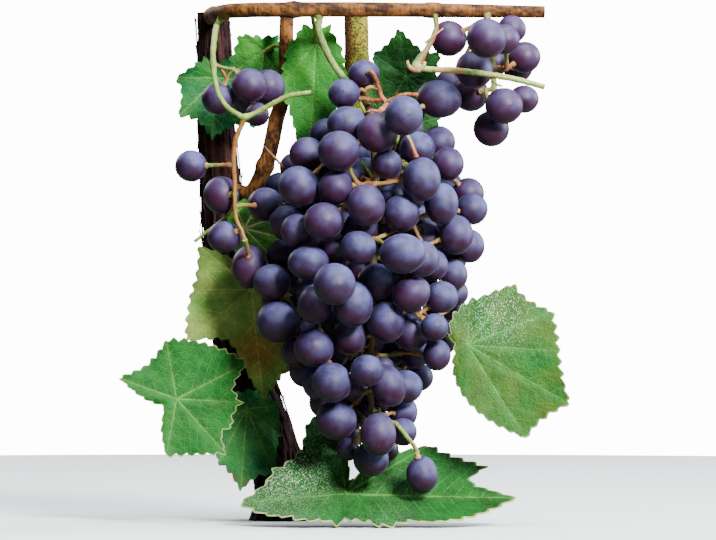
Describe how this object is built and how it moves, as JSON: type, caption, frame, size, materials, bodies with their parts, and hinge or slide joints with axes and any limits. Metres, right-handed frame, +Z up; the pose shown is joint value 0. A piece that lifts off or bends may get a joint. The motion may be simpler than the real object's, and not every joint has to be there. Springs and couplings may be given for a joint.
{
  "type": "grapevine section with ripe bunch",
  "caption": "Rooted section of a grapevine: short trunk, canes, a large ripe blue-black bunch with smaller ones beside it, and lobed leaves.",
  "frame": {"origin": "middle of the flat cut under the trunk, at ground level (mount ground)", "axes": "+Z up along the plant, the bunch hangs on the -Y side of the trunk and -Y is the front, +X to the right"},
  "size_m": [0.2265, 0.1513, 0.2623],
  "materials": {
    "bark": "fissured dark brown bark with reddish strips",
    "lichen_bark": "old bark crusted with yellow-green lichen",
    "green_stem": "smooth green shoot with orange-brown stretches",
    "berry": "dark blue-purple skin under a pale waxy bloom",
    "leaf": "green blade with pale raised veins"
  },
  "bodies": {
    "root": {"brown_cane": "bark", "bunch_lateral_01": "berry", "bunch_lateral_02": "berry", "bunch_lateral_03": "berry", "bunch_lateral_04": "berry", "bunch_lateral_05": "berry", "bunch_lateral_06": "berry", "bunch_lateral_07": "berry", "bunch_lateral_08": "berry", "bunch_lateral_09": "berry", "bunch_lateral_10": "berry", "bunch_lateral_11": "berry", "bunch_lateral_12": "berry", "bunch_lateral_13": "berry", "bunch_lateral_14": "berry", "bunch_lateral_15": "berry", "bunch_lateral_16": "berry", "bunch_lateral_17": "berry", "bunch_lateral_18": "berry", "bunch_stem": "green_stem", "fruiting_cane": "bark", "leaf_back_lower": "leaf", "leaf_back_upper": "leaf", "leaf_bottom": "leaf", "leaf_left_centre": "leaf", "leaf_left_front": "leaf", "leaf_left_inner": "leaf", "leaf_lower_left": "leaf", "leaf_right": "leaf", "leaf_top": "leaf", "leaf_top_inner": "leaf", "leaf_top_left": "leaf", "leaf_top_right": "leaf", "left_shoot": "berry", "lichen_cane": "lichen_bark", "right_lateral_01": "berry", "right_lateral_02": "berry", "right_lateral_03": "berry", "right_lateral_04": "berry", "right_shoot": "green_stem", "right_stem": "green_stem", "trunk": "bark"}
  },
  "joints": []
}
